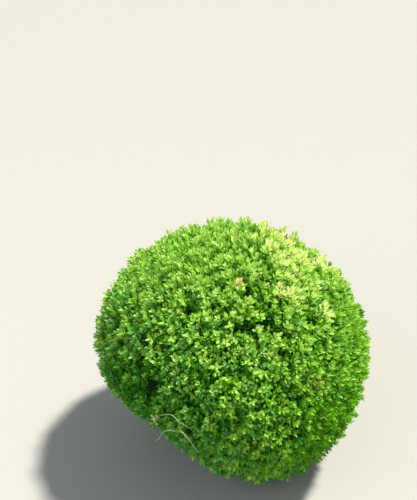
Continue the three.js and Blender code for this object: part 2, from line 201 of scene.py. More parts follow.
CALM_PLACES = [
    (-0.5, -0.06, 0.86, 0.52, 1.0), (0.72, -0.58, -0.15, 0.55, 1.0),
    (0.9, -0.2, 0.3, 0.45, 0.7),
]
# Painted shade and painted light: the leaves' tints run deeper in the shady places and paler in the light
# places
SHADY_PLACES = [
    (-0.76, -0.64, 0.08, 0.42, 1.1), (-0.5, -0.78, -0.35, 0.35, 1.1),
    (-0.58, -0.56, -0.6, 0.6, 0.9), (0.01, -0.78, 0.62, 0.14, 0.55),
    (0.157, -0.843, 0.514, 0.12, 0.6), (0.2, -0.93, 0.3, 0.2, 0.5),
]
LIGHT_PLACES = [
    (0.1, -0.22, 0.97, 0.42, 0.8), (-0.16, -0.36, 0.92, 0.25, 1.15),
    (0.08, -0.78, 0.6, 0.4, 0.75), (0.12, -0.93, -0.34, 0.55, 1.6),
    (-0.5, -0.2, 0.84, 0.4, 0.25), (-0.25, -0.9, 0.37, 0.22, 0.6),
    (-0.17, -0.96, 0.2, 0.18, 1.0), (-0.16, -0.35, 0.92, 0.09, 1.6),
    (-0.07, -0.65, 0.76, 0.08, 0.9),
]
# Muted places: painted shade, where the lit tips' tints are made deeper and the leaf pairs evener
MUTED_PLACES = [(0.62, -0.78, -0.02, 0.33, 1.0)]
GAP_DIP = 0.014
STRAW_SPRAY = ((0.045, -0.43, 0.9), 0.046)
BRONZE_PLACE = ((0.565, -0.76, 0.33), 0.062)
THIN_PLACE = ((-0.58, -0.62, -0.53), 0.5)
# Painted sunlight: the side towards which the leaves' tints turn paler
SUNNY_SIDE = (-0.15, 0.1, 0.98)
# Painted sky reflection: the shaded side where leaves take the sheen tints
SKY_SHEEN_SIDE = (-0.75, -0.5, -0.45)

# A shoot's leaf pairs from its tip back: way back from the tip, splay, share of a full leaf
LEAF_PAIRS = [
    (0.0, 0.2, 0.62), (0.003, 0.42, 0.86), (0.007, 0.66, 1.0),
    (0.0125, 0.84, 1.0), (0.019, 0.96, 0.98), (0.0265, 1.06, 0.92),
]
INNER_PAIRS = [
    (0.0, 0.5, 0.85), (0.006, 0.95, 1.0), (0.013, 1.1, 1.0),
    (0.021, 1.2, 0.95),
]
# A leaf's outline from its foot round by its tip: share of the length, of the width, and lift
LEAF_OUTLINE = [
    (0.0, 0.0, 0.0), (0.26, 0.4, -0.035), (0.66, 0.44, -0.045),
    (1.0, 0.0, -0.05), (0.66, -0.44, -0.045), (0.26, -0.4, -0.035),
]
LEAF_MIDDLE = (0.5, 0.0, 0.045)
STALK = 0.0006
LOWEST_LEAF = 0.005
MOST_FACES = 190000

# The leaves' tints, from the palest to the deepest and then the odd ones: name, colour, light let through
LEAF_TINTS = [
    ("cream", (0.87, 0.97, 0.51), 0.40),
    ("pale_lime", (0.78, 0.93, 0.38), 0.32),
    ("lime", (0.56, 0.80, 0.22), 0.24),
    ("fresh_green", (0.345, 0.64, 0.088), 0.22),
    ("mid_green", (0.165, 0.45, 0.018), 0.24),
    ("deep_green", (0.056, 0.28, 0.004), 0.24),
    ("shade_green", (0.012, 0.145, 0.001), 0.24),
    # Painted sky reflection: silvery sheen tints for glossy leaves in the shade
    ("sheen_sage_green", (0.30, 0.56, 0.200), 0.20),
    ("sheen_green", (0.170, 0.49, 0.080), 0.20),
    ("sheen_deep_green", (0.060, 0.32, 0.018), 0.20),
    ("straw", (0.82, 0.80, 0.33), 0.22),
    ("bronze", (0.40, 0.43, 0.07), 0.20),
]
CREAM, PALE, LIME, FRESH, MID, DEEP, SHADE, SHEEN_SAGE, SHEEN_GREEN, SHEEN_DEEP, STRAW, BRONZE = range(len(LEAF_TINTS))
# Each tint's counterpart with painted sky reflection
SHEEN_TINTS = {PALE: SHEEN_SAGE, LIME: SHEEN_SAGE, FRESH: SHEEN_GREEN, MID: SHEEN_DEEP}

# A tone is a number that rounds to a tint from pale lime to shade green. Tones are painted paler towards the
# sunny side as painted sunlight, which is partly also new growth there, and deeper away from it as painted
# shade. These hold on the sunny side, for a common shoot, for the palest that a shoot may be, and for calm
# places
FIRST_TONE = LIME - 0.75
PALEST_TONE = LIME - 0.55
CALM_TONE = LIME + 0.7

# The photograph's frame, the camera that took it, the lights and the floor
FRAME_HEIGHT_PIXELS = 500
FOCAL_PIXELS = 825
SENSOR = 36.0
CAMERA_PLACE = (0.0, -1.672, 1.527)
CAMERA_PITCH = math.radians(29.55)
CAMERA_TURN = math.radians(2.0)
KEY_SIDE = (0.40, 0.14, 0.90)
FILL_PLACE = (-1.9, -2.4, 2.3)
FLOOR_RADIUS = 60.0
FLOOR_SIDES = 96


def unit(vectors):
    """Vectors of length one along the last axis."""
    vectors = np.asarray(vectors, dtype=float)
    return vectors / np.maximum(np.linalg.norm(vectors, axis=-1, keepdims=True), 1e-12)


def chance(*keys):
    """A repeatable number from 0 to 1 for a few whole numbers, or an array of them.

    The first keys are a level and a number on it. The next key only keeps its draws apart from others.
    """
    state = np.uint64(SEED)
    for key in keys:
        state = (state + np.asarray(key, dtype=np.uint64) + np.uint64(1)) * FIRST_STIR & WORD
        state = state ^ (state >> np.uint64(15))
        state = state * SECOND_STIR & WORD
        state = state ^ (state >> np.uint64(13))
    return state / 2.0**32


def jitter(*keys):
    """A repeatable number from -1 to 1."""
    return chance(*keys) * 2 - 1


def spiral(count, level, lowest=LOWEST_SHOOT, highest=1.0):
    """Directions spread evenly down the ball by the golden angle."""
    i = np.arange(count)
    span = highest - lowest
    wander = 0.45 * math.sqrt(2 * span / count)
    sine = highest - (i + 0.5) / count * span + jitter(level, i, 0) * 0.8 / count
    sine = np.clip(sine, lowest, highest)
    cosine = np.sqrt(1 - sine**2)
    stray = jitter(level, i, 1) * wander / np.maximum(cosine, 0.3)
    turn = i * GOLDEN_ANGLE + level + stray
    return np.stack([np.cos(turn) * cosine, np.sin(turn) * cosine, sine], axis=1)


def all_round(count, level):
    """Directions down to the skirt, and as dense ones under it as far as the open neck."""
    share = (LOWEST_SHOOT - NECK_SINE) / (1 - LOWEST_SHOOT)
    below = spiral(max(int(count * share), 1), level + SKIRT, NECK_SINE, LOWEST_SHOOT)
    return np.concatenate([spiral(count, level), below])


def angle_from(directions, towards):
    """The angle of each direction from one."""
    return np.arccos(np.clip(directions @ unit(towards), -1, 1))


def bell(directions, towards, across):
    """A bell curve over the ball, 1 in one direction."""
    return np.exp(-((angle_from(directions, towards) / across) ** 2))


def unevenness():
    """The swells and ripples of the clipped surface."""
    marks = [(unit(towards), across, lift) for towards, across, lift in SWELLS.values()]
    for i, towards in enumerate(spiral(RIPPLES, RIPPLE, -1)):
        marks.append((towards, RIPPLE_ACROSS, RIPPLE_LIFT * float(jitter(RIPPLE, i, 2))))
    return marks


def reach(directions):
    """How far the clipped surface lies from the ball's centre, flat where it meets the ground."""
    level = np.hypot(directions[:, 0], directions[:, 1]) / BALL_HALF_WIDTH
    radius = 1 / np.hypot(level, directions[:, 2] / BALL_HALF_HEIGHT)
    for towards, across, lift in unevenness():
        radius *= 1 + lift * bell(directions, towards, across)
    to_ground = (BALL_CENTRE[2] - SKIRT_HEIGHT) / np.maximum(-directions[:, 2], 0.01)
    return np.minimum(radius, to_ground)


def point_at(directions, depth):
    """Points below the clipped surface."""
    return BALL_CENTRE + directions * (reach(directions) - depth)[:, None]


def nearest(directions, coarser):
    """For each direction the nearest of a coarser level."""
    best = np.empty(len(directions), dtype=int)
    for start in range(0, len(directions), 2000):
        block = slice(start, start + 2000)
        best[block] = np.argmax(directions[block] @ coarser.T, axis=1)
    return best


def quadratic(start, bend, end, steps):
    """Points on curves that leave start towards bend and arrive at end."""
    t = np.linspace(0, 1, steps + 1)[None, :, None]
    start, bend, end = (np.atleast_2d(p)[:, None, :] for p in (start, bend, end))
    return (1 - t) ** 2 * start + 2 * t * (1 - t) * bend + t**2 * end


def even_steps(points, steps):
    """A line of points laid out again at even distances."""
    points = np.asarray(points, dtype=float)
    along = np.concatenate([[0], np.cumsum(np.linalg.norm(np.diff(points, axis=0), axis=1))])
    at = np.linspace(0, along[-1], steps + 1)
    return np.stack([np.interp(at, along, points[:, axis]) for axis in range(3)], axis=1)


def bends_line(bends, steps):
    """A smooth line through a few bends, evenly laid out."""
    bends = np.asarray(bends, dtype=float)
    first = 2 * bends[0] - bends[1]
    last = 2 * bends[-1] - bends[-2]
    knots = np.concatenate([[first], bends, [last]])
    line = []
    for a, b, c, d in zip(knots, knots[1:], knots[2:], knots[3:]):
        gaps = [max(np.linalg.norm(q - p) ** 0.5, 1e-4) for p, q in ((a, b), (b, c), (c, d))]
        start = ((b - a) / gaps[0] - (c - a) / (gaps[0] + gaps[1]) + (c - b) / gaps[1]) * gaps[1]
        end = ((c - b) / gaps[1] - (d - b) / (gaps[1] + gaps[2]) + (d - c) / gaps[2]) * gaps[1]
        for t in np.linspace(0, 1, 16, endpoint=False):
            line.append(
                (2 * t**3 - 3 * t**2 + 1) * b + (t**3 - 2 * t**2 + t) * start
                + (3 * t**2 - 2 * t**3) * c + (t**3 - t**2) * end
            )
    return even_steps(line + [bends[-1]], steps)


def stem_line(steps=STEM_STEPS):
    """The main stem's middle line, which starts below the ground."""
    t = np.linspace(0, 1, 2 * CURVE_STEPS)[:, None]
    foot = np.array([0, 0, -BELOW_GROUND])
    one, two = (np.array(lean) for lean in STEM_LEAN)
    line = (1 - t) ** 3 * foot + 3 * t * (1 - t) ** 2 * one
    line = line + 3 * t**2 * (1 - t) * two + t**3 * np.array(STEM_TOP)
    return even_steps(line, steps)


def limb_ends():
    """Where the limbs end in the ball, from its top down."""
    return point_at(spiral(LIMB_ENDS, LIMB, LOWEST_LIMB), LIMB_DEPTH)


def bough_line(number, steps=BOUGH_STEPS):
    """The middle line of a bough, from the stem's middle to its end in the ball."""
    end = limb_ends()[STEM_LIMBS + number]
    height = HIGHEST_FORK + (LOWEST_FORK - HIGHEST_FORK) * (number / (BOUGHS - 1))
    at = (height + BELOW_GROUND) / (STEM_TOP[2] + BELOW_GROUND)
    fork = stem_line()[int(round(at * STEM_STEPS))]
    outward = end - fork
    bend = fork + outward * 0.45
    bend[2] += 0.1 * np.linalg.norm(outward) + 0.014 * jitter(LIMB, number, 3)
    return even_steps(quadratic(fork, bend, end, CURVE_STEPS)[0], steps)


def bough_parts(number):
    """A bough's line outside the ball's inner wall and its line inside it, and its radius at the wall."""
    line = bough_line(number)
    outside = np.linalg.norm((line - HOLLOW_CENTRE) / HOLLOW_HALF, axis=1) > 1
    outside[: len(line) // 3] = False
    share = int(np.argmax(outside)) / (len(line) - 1)
    at = int(share * BOUGH_STEPS)
    return line[: at + 1], line[at:], BOUGH_RADIUS + (BOUGH_TIP_RADIUS - BOUGH_RADIUS) * share


def ball_limb_lines():
    """The middle lines of the ball's own stem and of the high limbs that it carries."""
    foot = np.array(STEM_TOP)
    lean = unit(stem_line()[-1] - stem_line()[-2])
    rise = np.linalg.norm(BALL_STEM_TOP - foot)
    lines = [quadratic(foot, foot + lean * rise / 2, BALL_STEM_TOP, LIMB_STEPS)[0]]
    for i, end in enumerate(limb_ends()[:STEM_LIMBS]):
        fork = foot + (BALL_STEM_TOP - foot) * (BALL_FIRST_FORK + BALL_FORK_SPAN * i / STEM_LIMBS)
        turn = fork + (end - fork) * 0.5
        turn[2] += 0.12 * np.linalg.norm(end - fork) * (1 - end[2] / 0.7)
        lines.append(quadratic(fork, turn, end, LIMB_STEPS)[0])
    return lines


def bare_lines(steps):
    """The middle lines of the bare bough and its fork, which leaves it inside the ball."""
    bough = bends_line(BARE_BOUGH_BENDS, BARE_STEPS)
    fork = bough[int(round(BARE_FORK_SHARE * BARE_STEPS))]
    return even_steps(bough, steps), bends_line([tuple(fork), *BARE_FORK_BENDS], steps // 2)


def clear_of_bare(points):
    """Which points keep clear of the bare bough, so that it shows."""
    keeps = np.ones(len(points), dtype=bool)
    bough, fork = bare_lines(2 * CURVE_STEPS)
    for line in (bough, fork[int(len(fork) * FORK_SHOWS) :]):
        for spot in line:
            keeps &= np.linalg.norm(points - spot, axis=1) > BARE_GAP
    return keeps


def ring_quads(count, rings, sides):
    """The quads between the rings of points round some tubes."""
    start = (np.arange(count) * rings * sides)[:, None, None]
    row = (np.arange(rings - 1) * sides)[None, :, None]
    side = np.arange(sides)[None, None, :]
    after = (side + 1) % sides
    low, high = start + row, start + row + sides
    return np.stack([low + side, low + after, high + after, high + side], axis=-1).reshape(-1, 4)


def tubes(lines, radii, sides):
    """Rings of points round many lines at once, and the quads between them."""
    lines = np.asarray(lines, dtype=float)
    radii = np.broadcast_to(np.asarray(radii, dtype=float), lines.shape[:2])
    tangents = unit(np.gradient(lines, axis=1))
    overall = unit(lines[:, -1] - lines[:, 0])
    aside = np.where(np.abs(overall[:, 2:3]) < 0.9, [[0.0, 0.0, 1.0]], [[1.0, 0.0, 0.0]])
    aside = np.broadcast_to(aside[:, None, :], lines.shape)
    normals = unit(np.cross(tangents, aside))
    others = np.cross(tangents, normals)
    angles = np.arange(sides) / sides * 2 * math.pi
    ring = (
        normals[:, :, None, :] * np.cos(angles)[None, None, :, None]
        + others[:, :, None, :] * np.sin(angles)[None, None, :, None]
    )
    points = lines[:, :, None, :] + ring * radii[:, :, None, None]
    return points.reshape(-1, 3), ring_quads(*lines.shape[:2], sides)


def join(shapes):
    """Several sets of points and faces as one."""
    points, faces, start = [], [], 0
    for shape_points, shape_faces in shapes:
        points.append(shape_points)
        faces.append(shape_faces + start)
        start += len(shape_points)
    return np.concatenate(points), np.concatenate(faces)


def add_object(name, data):
    """An object that shows its data in the scene."""
    new = bpy.data.objects.new(name, data)
    bpy.context.scene.collection.objects.link(new)
    return new


def add_piece(name, shape, material, nodes):
    """A smooth mesh of points and faces that rides on the plant and stands for its nodes."""
    points, faces = shape
    mesh = bpy.data.meshes.new(name)
    mesh.vertices.add(len(points))
    mesh.vertices.foreach_set("co", np.ascontiguousarray(points, dtype=np.float32).ravel())
    mesh.loops.add(faces.size)
    mesh.loops.foreach_set("vertex_index", np.ascontiguousarray(faces, dtype=np.int32).ravel())
    mesh.polygons.add(len(faces))
    mesh.polygons.foreach_set("loop_start", np.arange(0, faces.size, faces.shape[1], dtype=np.int32))
    mesh.polygons.foreach_set("use_smooth", np.ones(len(faces), dtype=bool))
    mesh.update(calc_edges=True)
    mesh.validate()
    mesh.materials.append(material)
    piece = add_object(name, mesh)
    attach(piece, "root")
    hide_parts(*nodes)


def new_material(name, roughness, specular=0.5):
    """A node material with only its shader and its output."""
    material = bpy.data.materials.new(name)
    material.use_nodes = True
    tree = material.node_tree
    shader = tree.nodes["Principled BSDF"]
    shader.inputs["Roughness"].default_value = roughness
    shader.inputs["Specular IOR Level"].default_value = specular
    return material, tree, shader


def add_node(tree, kind, **settings):
    """A shader node with its settings. Names with a capital are inputs, which take a value or a link."""
    node = tree.nodes.new(kind)
    for name, value in settings.items():
        if isinstance(value, bpy.types.NodeSocket):
            tree.links.new(value, node.inputs[name])
        elif name in node.inputs:
            node.inputs[name].default_value = value
        else:
            setattr(node, name, value)
    return node


def ramp(tree, factor, stops):
    """A colour ramp over a factor."""
    node = add_node(tree, "ShaderNodeValToRGB", Fac=factor)
    elements = node.color_ramp.elements
    while len(elements) < len(stops):
        elements.new(0.5)
    for element, (place, colour) in zip(elements, stops):
        element.position = place
        element.color = (*colour, 1.0)
    return node.outputs["Color"]


def object_place(tree, scale):
    """The place on the object, stretched by scale."""
    place = tree.nodes.new("ShaderNodeTexCoord").outputs["Object"]
    return add_node(tree, "ShaderNodeMapping", Vector=place, Scale=scale).outputs["Vector"]


def mixed(tree, blend, factor, first, second):
    """Two colours mixed by a factor, which is a number or a link."""
    node = add_node(
        tree, "ShaderNodeMix", data_type="RGBA", blend_type=blend, Factor=factor, A=first, B=second
    )
    return node.outputs["Result"]


def bark_material(name, light, dark, moss, grain):
    """Finely fissured bark with a green bloom in places."""
    material, tree, shader = new_material(name, 0.86, 0.25)
    place = object_place(tree, (1.0, 1.0, 0.35))
    noises = [(grain, 8.0, 0.7), (grain, 2.0, 0.5), (18.0, 4.0, 0.5)]
    fissures, waver, bloom = (
        add_node(tree, "ShaderNodeTexNoise", Vector=place, Scale=scale, Detail=detail, Roughness=roughness)
        for scale, detail, roughness in noises
    )
    bent = add_node(tree, "ShaderNodeVectorMath", operation="MULTIPLY_ADD")
    bent.inputs[1].default_value = (1.6 / grain,) * 3
    tree.links.new(waver.outputs["Color"], bent.inputs[0])
    tree.links.new(place, bent.inputs[2])
    plates = add_node(tree, "ShaderNodeTexVoronoi", feature="DISTANCE_TO_EDGE", Scale=grain * 1.3)
    tree.links.new(bent.outputs["Vector"], plates.inputs["Vector"])
    lightest = tuple(c * 1.35 for c in light)
    darker_moss = tuple(c * 0.6 for c in moss)
    wood = ramp(tree, fissures.outputs["Fac"], [(0.30, dark), (0.52, light), (0.75, lightest)])
    crack = ramp(tree, plates.outputs["Distance"], [(0.0, (0.50, 0.47, 0.43)), (0.10, (1.0, 1.0, 1.0))])
    cracked = mixed(tree, "MULTIPLY", 1.0, wood, crack)
    green = ramp(tree, fissures.outputs["Fac"], [(0.3, darker_moss), (0.7, moss)])
    where = ramp(tree, bloom.outputs["Fac"], [(0.50, (0, 0, 0)), (0.72, (0.75, 0.75, 0.75))])
    tree.links.new(mixed(tree, "MIX", where, cracked, green), shader.inputs["Base Color"])
    height = fissures.outputs["Fac"]
    relief = add_node(tree, "ShaderNodeBump", Strength=0.55, Distance=0.0012, Height=height)
    tree.links.new(relief.outputs["Normal"], shader.inputs["Normal"])
    return material


def live_bark(name, wood, grain):
    """The bark of the live wood."""
    return bark_material(name, wood.bark_light, wood.bark_dark, wood.moss, grain)


def leaf_material(name, colour, roughness, glow):
    """A leathery leaf: a soft sheen, a little light through it, and a faint mottle."""
    material, tree, shader = new_material(name, roughness, 0.28)
    place = object_place(tree, (1.0, 1.0, 1.0))
    mottle = add_node(tree, "ShaderNodeTexNoise", Vector=place, Scale=95.0, Detail=3.0, Roughness=0.6)
    darker = tuple(c * 0.84 for c in colour)
    lighter = tuple(min(c * 1.10, 1.0) for c in colour)
    tint = ramp(tree, mottle.outputs["Fac"], [(0.36, darker), (0.64, lighter)])
    tree.links.new(tint, shader.inputs["Base Color"])
    red, green, blue = (c * min(1.3, 1 / max(colour)) for c in colour)
    through = add_node(tree, "ShaderNodeBsdfTranslucent", Color=(red, green, blue * 0.4, 1.0))
    share = add_node(tree, "ShaderNodeMixShader", Fac=glow)
    tree.links.new(shader.outputs["BSDF"], share.inputs[1])
    tree.links.new(through.outputs["BSDF"], share.inputs[2])
    tree.links.new(share.outputs["Shader"], tree.nodes["Material Output"].inputs["Surface"])
    return material


def twig_material(name, young, old):
    """The skin of young twigs, green turning to tan."""
    material, tree, shader = new_material(name, 0.7, 0.3)
    place = object_place(tree, (1.0, 1.0, 1.0))
    age = add_node(tree, "ShaderNodeTexNoise", Vector=place, Scale=42.0, Detail=4.0)
    skin = ramp(tree, age.outputs["Fac"], [(0.38, old), (0.62, young)])
    tree.links.new(skin, shader.inputs["Base Color"])
    return material


def barked(line, radius_at, sides, depth, grain):
    """A limb whose skin is broken into shallow plates. radius_at takes shares and angles."""
    rings = len(line)
    tangents = unit(np.gradient(line, axis=0))
    normal = start_normal(tangents[0])
    points = np.empty((rings, sides, 3))
    angles = np.arange(sides) / sides * 2 * math.pi
    for ring in range(rings):
        normal = unit(normal - tangents[ring] * (normal @ tangents[ring]))
        other = np.cross(tangents[ring], normal)
        radius = radius_at(ring / (rings - 1), angles)
        around = np.cos(angles)[:, None] * normal + np.sin(angles)[:, None] * other
        skin = line[ring] + around * radius[:, None]
        for side in range(sides):
            spot = Vector(skin[side] * grain)
            spot.z *= 0.3
            plates = noise.fractal(spot, 0.9, 2.1, 4) - 0.4 * abs(noise.noise(spot * 2.3))
            skin[side] += around[side] * depth * plates * min(radius[side] / STEM_TOP_RADIUS, 1)
        points[ring] = skin
    return close_tube(points)


def start_normal(tangent):
    """The first side direction of a limb, as the source's curves choose it."""
    least = np.zeros(3)
    least[2 - int(np.argmin(np.abs(tangent)[::-1]))] = 1
    return np.cross(tangent, unit(np.cross(tangent, least)))


def close_tube(points):
    """Quads round a tube of rings, and small quads that close its ends."""
    rings, sides = points.shape[:2]
    side = np.arange(sides // 2 - 1)
    end = np.stack([side, side + 1, sides - 2 - side, sides - 1 - side], axis=1)
    faces = [ring_quads(1, rings, sides), end[:, ::-1], end + (rings - 1) * sides]
    return points.reshape(-1, 3), np.concatenate(faces)


def taper(start, end, early=1.0):
    """A radius that shrinks along a limb, evenly or most of it early on."""
    return lambda share, angles: np.full(len(angles), start + (end - start) * share**early)


def grow_wood(settings):
    """Every level's directions and lines, from the limbs out to the sprays."""
    lines = ball_limb_lines()[1:]
    lines += [bough_line(number, LIMB_STEPS) for number in range(BOUGHS)]
    levels = {"limb": (spiral(LIMB_ENDS, LIMB, LOWEST_LIMB), np.array(lines))}
    # The last two columns are where on its carrier a line may start at the earliest, and its steps
    plan = [
        ("spur", SPURS, SPUR, SPUR_DEPTH, "limb", 0.62, 8),
        ("branch", BRANCHES, BRANCH, BRANCH_DEPTH, "spur", 0.45, 6),
        ("spray", settings.sprays, SPRAY, SPRAY_DEPTH, "branch", 0.35, 3),
    ]
    for name, count, level, depth, carrier, earliest, steps in plan:
        directions = all_round(count, level)
        coarser, carriers = levels[carrier]
        parents = nearest(directions, coarser)
        i = np.arange(len(directions))
        share = earliest + (1 - earliest) * chance(level, i, 4)
        starts = along(carriers[parents], share)
        ends = point_at(directions, depth + 0.25 * depth * jitter(level, i, 5))
        heading = unit(carriers[parents][:, -1] - carriers[parents][:, -2])
        span = np.linalg.norm(ends - starts, axis=1)[:, None]
        levels[name] = (directions, quadratic(starts, starts + heading * span * 0.35, ends, steps))
    return levels


def along(lines, share):
    """The point at a share of each line."""
    steps = lines.shape[1] - 1
    place = np.clip(share, 0, 1) * steps
    low = np.minimum(place.astype(int), steps - 1)
    part = (place - low)[:, None]
    rows = np.arange(len(lines))
    return lines[rows, low] * (1 - part) + lines[rows, low + 1] * part


def bumps(directions, marks):
    """The strongest of some marks at each direction, as direction, angle across and strength."""
    height = np.zeros(len(directions))
    for *towards, across, strength in marks:
        height = np.maximum(height, strength * bell(directions, towards, across))
    return height


def sunny(directions):
    """How far each direction faces the sun, from 0 to 1."""
    return 0.5 + 0.5 * (directions @ unit(SUNNY_SIDE))


def favour(level, number, sprays):
    """How much light each shoot had, evenly from 0 to 1 and shared in part with its spray."""
    middle = (chance(level, number, 13) + chance(SPRAY, sprays, 13)) / 2
    return np.where(middle < 0.5, 2 * middle**2, 1 - 2 * (1 - middle) ** 2)


def outer_depths(settings, directions, number, sprays, branches, aside):
    """How deep the outer shoots' tips lie. They fall back with their distance aside of their spray."""
    tuft = settings.tuft_depth * chance(SPRAY, sprays, 6)
    tuft = tuft + settings.tuft_depth * 0.20 * chance(BRANCH, branches, 6)
    ruffled = bumps(directions, RUFFLED_PLACES)
    dome = settings.tuft_dome * (1 + 2.2 * ruffled) * (aside / DOME_WIDTH) ** 2
    rough = tuft + dome + ROUGHNESS * jitter(SHOOT, number, 2) - MIDDLE_ROUGHNESS
    rough = rough * (1 + 0.35 * ruffled - 0.25 * bumps(directions, CALM_PLACES))
    depth = settings.tip_depth + MIDDLE_ROUGHNESS + rough
    eager = chance(SHOOT, number, 3) < settings.new_growth
    new_tip = 0.004 + 0.003 * jitter(SHOOT, number, 7)
    depth = np.where(eager, np.minimum(depth, new_tip), depth)
    depth = depth + bumps(directions, SMALL_HOLLOWS) + bumps(directions, CLOSE_PLACES)
    towards, across = STRAW_SPRAY
    depth = np.where(angle_from(directions, towards) < across * 0.9, 0.006, depth)
    lit = favour(SHOOT, number, sprays)
    tousle = 0.013 * (lit > 0.72) - 0.006 * (lit < 0.5)
    return depth + bumps(directions, PALE_PLACES) * tousle


def grow_shoots(settings, inner, leafless=False):
    """The shoots, as a table of columns. Inner ones fill the shade behind, leafless ones the thin place."""
    count, level = (settings.inner_shoots, INNER) if inner else (settings.shoots, SHOOT)
    directions = all_round(count, level)
    spray_directions, spray_lines = grow_wood(settings)["spray"]
    branches = nearest(directions, spiral(BRANCHES, BRANCH))
    sprays = nearest(directions, spray_directions)
    number = np.arange(len(directions))
    if inner:
        depth = settings.inner_depth * (1 + 0.35 * jitter(level, number, 2))
        depth = depth + 0.6 * bumps(directions, SMALL_HOLLOWS)
    else:
        aside = np.linalg.norm(directions - spray_directions[sprays], axis=1) * BALL_HALF_WIDTH
        depth = outer_depths(settings, directions, number, sprays, branches, aside)
    thin = bell(directions, *THIN_PLACE)
    tips = point_at(directions, depth)
    side = unit(np.cross(directions, [0.31, 0.17, 0.93]))
    sway = side * jitter(level, number, 25)[:, None]
    sway = sway + np.cross(directions, side) * jitter(level, number, 26)[:, None]
    axis = directions + 0.32 * sway
    axis[:, 2] += UPTURN * (1 - np.abs(directions[:, 2]))
    axis = unit(axis)
    length = SHORTEST_SHOOT + (1 - SHORTEST_SHOOT) * chance(level, number, 27)
    elbows = tips - axis * SHOOT_LENGTH * length[:, None]
    feet = along(spray_lines[sprays], FIRST_FOOT + (1 - FIRST_FOOT) * chance(level, number, 4))
    keeps = (chance(level, number, 8) > settings.thinning * thin) != leafless
    keeps &= inner | (bumps(directions, SMALL_HOLLOWS) < GAP_DIP)
    keeps &= (tips[:, 2] > LOWEST_TIP) & (elbows[:, 2] > LOWEST_ELBOW)
    for share in (0.0, 0.5, 1.0):
        keeps &= clear_of_bare(elbows + (tips - elbows) * share)
    columns = [directions, feet, elbows, tips, axis, sprays, branches, number, thin, depth]
    return [column[keeps] for column in columns]


def leaf_points(feet, along_leaf, upper, length, width):
    """The seven points of every leaf, and the six faces round its raised middle."""
    across = np.cross(along_leaf, upper)
    template = np.array(LEAF_OUTLINE + [LEAF_MIDDLE])
    points = (
        feet[:, None, :]
        + along_leaf[:, None, :] * (template[None, :, 0:1] * length[:, None, None])
        + across[:, None, :] * (template[None, :, 1:2] * width[:, None, None])
        + upper[:, None, :] * (template[None, :, 2:3] * length[:, None, None])
    )
    sides = len(LEAF_OUTLINE)
    fan = np.array([(sides, (k + 1) % sides, k) for k in range(sides)])
    faces = fan[None, :, :] + (np.arange(len(feet)) * (sides + 1))[:, None, None]
    return points.reshape(-1, 3), faces.reshape(-1, 3)


def leaf_tone(directions, sprays, branches, number, depth, level):
    """How deep a green each shoot has, dealt out by branch and spray, with painted light and shade: paler
    towards the sun, in the light places and on the pale places' picked shoots, deeper in the shady places
    and where tips lie deeper.
    """
    lot = 1.3 * (chance(SPRAY, sprays, 9) - 0.5)
    lot = lot + 0.25 * jitter(BRANCH, branches, 9)
    lot = lot + 1.15 * jitter(level, number, 10)
    lot = lot - 0.4 * (chance(SPRAY, sprays, 12) < 0.14)
    lot = lot * (1 - 0.65 * bumps(directions, CALM_PLACES))
    # In the pale places the picked shoots are painted paler and the rest deeper, as painted sunlight and
    # painted shade between tufts
    pale = bumps(directions, PALE_PLACES)
    picked = favour(level, number, sprays) < 0.45 + 0.40 * pale
    pale = pale * np.where(picked, -2.6, 1.1)
    shady = 1.3 * bumps(directions, SHADY_PLACES) - bumps(directions, LIGHT_PLACES)
    # Painted shade: the deeper a shoot's tips lie, the deeper its green
    sunk = depth - bumps(directions, CLOSE_PLACES) - 0.014
    return FIRST_TONE + 1.6 * (1 - sunny(directions)) + lot + 80.0 * sunk + shady + pale


def leaf_tint(tone, directions, sprays, number, pair, level):
    """The tint of each shoot's leaves at a pair, with painted light and shade, painted sky reflection in the
    sheen tints, and a few straw and bronze ones.
    """
    shade = 1 - sunny(directions)
    pale = bumps(directions, PALE_PLACES)
    muted = bumps(directions, MUTED_PLACES)
    light = 3.0 * pale + 0.35 * bumps(directions, LIGHT_PLACES)
    # Painted light and shade: no leaf is paler than a limit that deepens away from the sun and in the muted
    # places and lifts in the pale and light places
    tone = np.maximum(tone, PALEST_TONE + 2.0 * shade - light + 1.4 * muted)
    # Pairs further back are deeper: partly older leaves, partly painted shade
    tone = tone + 0.64 * pair * (1 - 0.95 * muted)
    tone = tone + 0.30 * jitter(level, number, 30 + pair)
    # Calm places pull towards an even tone, which is itself painted deeper away from the sun
    tone = tone + 0.78 * bumps(directions, CALM_PLACES) * (CALM_TONE + 1.9 * shade - tone)
    tint = np.clip(np.round(tone), PALE, SHADE).astype(int)
    if level != SHOOT:
        return tint
    # Painted sky reflection: leaves towards the shaded lower front left, and a few elsewhere, take the sheen
    # tints
    sky_sheen = 0.9 * np.clip(directions @ unit(SKY_SHEEN_SIDE), 0, 1)
    cool = chance(level, number, 33) < 0.03 * (1 - 2 * pale) + sky_sheen
    warm = tint.copy()
    for kind, cooler in SHEEN_TINTS.items():
        tint[cool & (warm == kind)] = cooler
    # Cream leaves in the pale places: partly bleached leaves, partly painted sunlight
    bleached_and_sunlit = favour(level, number, sprays) < 0.95 * pale - 0.20
    last = 3 + 3 * chance(level, number, 32)
    tint[bleached_and_sunlit & (pair < last)] = CREAM
    straw = angle_from(directions, STRAW_SPRAY[0]) < STRAW_SPRAY[1]
    tint[straw & (chance(level, number, 14, pair) < 0.65)] = STRAW
    bronze = angle_from(directions, BRONZE_PLACE[0]) < BRONZE_PLACE[1]
    bronze &= chance(level, number, 15) < 0.6
    tint[bronze & (pair < 2)] = BRONZE
    return tint


def swung(first, second, angles):
    """Each first direction swung towards the second by an angle."""
    return first * np.cos(angles)[:, None] + second * np.sin(angles)[:, None]


